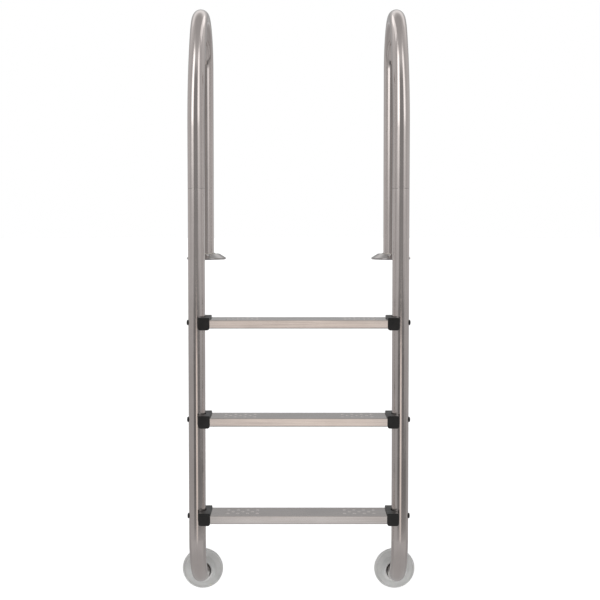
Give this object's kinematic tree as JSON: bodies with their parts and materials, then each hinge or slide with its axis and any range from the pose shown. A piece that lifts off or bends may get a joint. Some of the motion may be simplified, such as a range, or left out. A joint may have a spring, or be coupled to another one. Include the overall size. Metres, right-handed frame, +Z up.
{
  "type": "pool ladder",
  "caption": "Deck-mounted pool ladder of bent round tube with gooseneck handrails, folded sheet treads in plastic end caps, deck flanges and round wall bumpers.",
  "frame": {"origin": "on the deck surface, midway between the two deck flanges", "axes": "+Z up; +X to the right for someone standing in the pool facing the ladder; +Y from the pool towards the deck and the pool wall; the treads and front rails are on the -Y side"},
  "size_m": [0.63, 0.397, 1.5615],
  "materials": {
    "polished_steel": "mirror-polished stainless steel tube, faint lengthwise polishing lines",
    "tread_steel": "satin bright stainless sheet with small raised anti-slip dimples",
    "zinc_steel": "plain zinc-plated fasteners and inner sleeves, semi-matt",
    "dark_fastener": "dark coated tread bolts and saddle washers, satin",
    "black_plastic": "moulded black plastic, fine grain, satin",
    "bumper_plastic": "soft translucent greyish-white moulded plastic"
  },
  "bodies": {
    "root": {"left_bumper": "bumper_plastic", "left_deck_flange": "polished_steel", "left_handrail": "polished_steel", "left_lower_rail": "polished_steel", "left_rail_sleeve": "zinc_steel", "left_sleeve_screw_lower": "polished_steel", "left_sleeve_screw_upper": "polished_steel", "lower_tread": "tread_steel", "lower_tread_left_bolt": "dark_fastener", "lower_tread_left_cap": "black_plastic", "lower_tread_left_nut": "zinc_steel", "lower_tread_left_washer": "dark_fastener", "lower_tread_right_bolt": "dark_fastener", "lower_tread_right_cap": "black_plastic", "lower_tread_right_nut": "zinc_steel", "lower_tread_right_washer": "dark_fastener", "middle_tread": "tread_steel", "middle_tread_left_bolt": "dark_fastener", "middle_tread_left_cap": "black_plastic", "middle_tread_left_nut": "zinc_steel", "middle_tread_left_washer": "dark_fastener", "middle_tread_right_bolt": "dark_fastener", "middle_tread_right_cap": "black_plastic", "middle_tread_right_nut": "zinc_steel", "middle_tread_right_washer": "dark_fastener", "right_bumper": "bumper_plastic", "right_deck_flange": "polished_steel", "right_handrail": "polished_steel", "right_lower_rail": "polished_steel", "right_rail_sleeve": "zinc_steel", "right_sleeve_screw_lower": "polished_steel", "right_sleeve_screw_upper": "polished_steel", "upper_tread": "tread_steel", "upper_tread_left_bolt": "dark_fastener", "upper_tread_left_cap": "black_plastic", "upper_tread_left_nut": "zinc_steel", "upper_tread_left_washer": "dark_fastener", "upper_tread_right_bolt": "dark_fastener", "upper_tread_right_cap": "black_plastic", "upper_tread_right_nut": "zinc_steel", "upper_tread_right_washer": "dark_fastener"}
  },
  "joints": []
}
